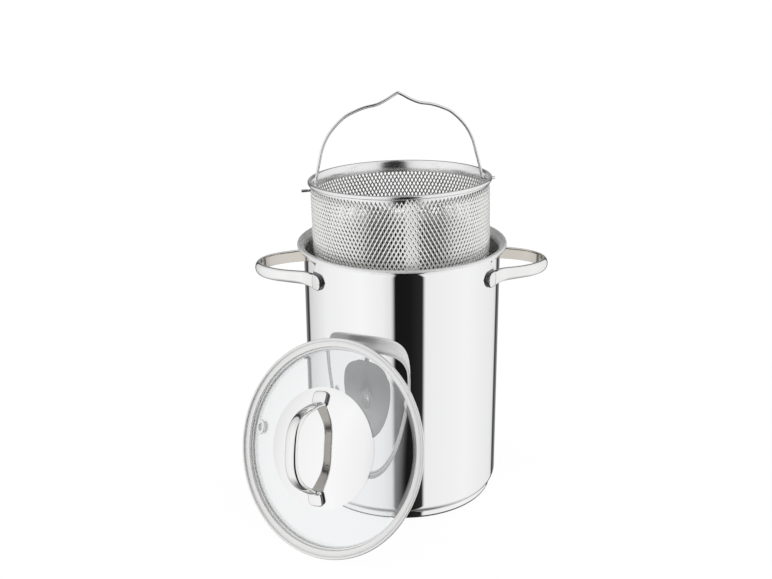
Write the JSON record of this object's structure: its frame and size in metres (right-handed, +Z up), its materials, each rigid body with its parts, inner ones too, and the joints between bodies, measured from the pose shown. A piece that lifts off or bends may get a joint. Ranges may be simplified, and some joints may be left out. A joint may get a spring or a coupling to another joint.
{
  "type": "pasta pot",
  "caption": "Tall steel pasta pot with two side handles, a lift-out mesh strainer on a swinging bail, and a glass lid with a steel band and bow handle.",
  "frame": {"origin": "centre of the lower face of the pot's base, on the surface that the pot stands on", "axes": "+Z up along the pot's axis, side handles on +X and -X, the lid leans on the front left, towards -Y and -X"},
  "size_m": [0.2553, 0.2443, 0.3372],
  "materials": {
    "polished_steel": "mirror polished stainless steel",
    "handle_steel": "polished stainless steel bar and wire",
    "satin_steel": "satin stainless steel",
    "mesh_steel": "expanded stainless steel mesh",
    "aluminium_core": "plain",
    "clear_glass": "clear tempered glass",
    "silicone": "matt silicone"
  },
  "bodies": {
    "pot": {"pot_body": "polished_steel", "base_core": "aluminium_core", "base_cap": "polished_steel", "handle_left": "handle_steel", "handle_right": "handle_steel"},
    "strainer": {"strainer_wall": "mesh_steel", "strainer_seam": "satin_steel", "strainer_rim": "satin_steel", "strainer_floor": "mesh_steel", "strainer_foot": "satin_steel"},
    "bail": {"bail": "handle_steel"},
    "lid": {"lid_glass": "clear_glass", "lid_band": "polished_steel", "lid_plate": "polished_steel", "lid_handle": "handle_steel", "lid_boss": "satin_steel", "lid_gasket": "silicone", "lid_washer": "satin_steel", "lid_screw": "satin_steel", "vent_eyelet": "polished_steel"}
  },
  "joints": [
    {"name": "strainer_lift", "type": "slide", "parent": "pot", "child": "strainer", "axis": [0, 0, 1], "range_m": [-0.045, 0.16]},
    {"name": "bail_swing", "type": "hinge", "parent": "strainer", "child": "bail", "pos_m": [-0.0013, 0.0034, 0.26345], "axis": [0.985, 0.1719, 0.0141], "range_deg": [-72, 84]},
    {"name": "lid_away", "type": "slide", "parent": "pot", "child": "lid", "axis": [-0.5835, -0.8121, 0], "range_m": [0, 0.15]}
  ]
}
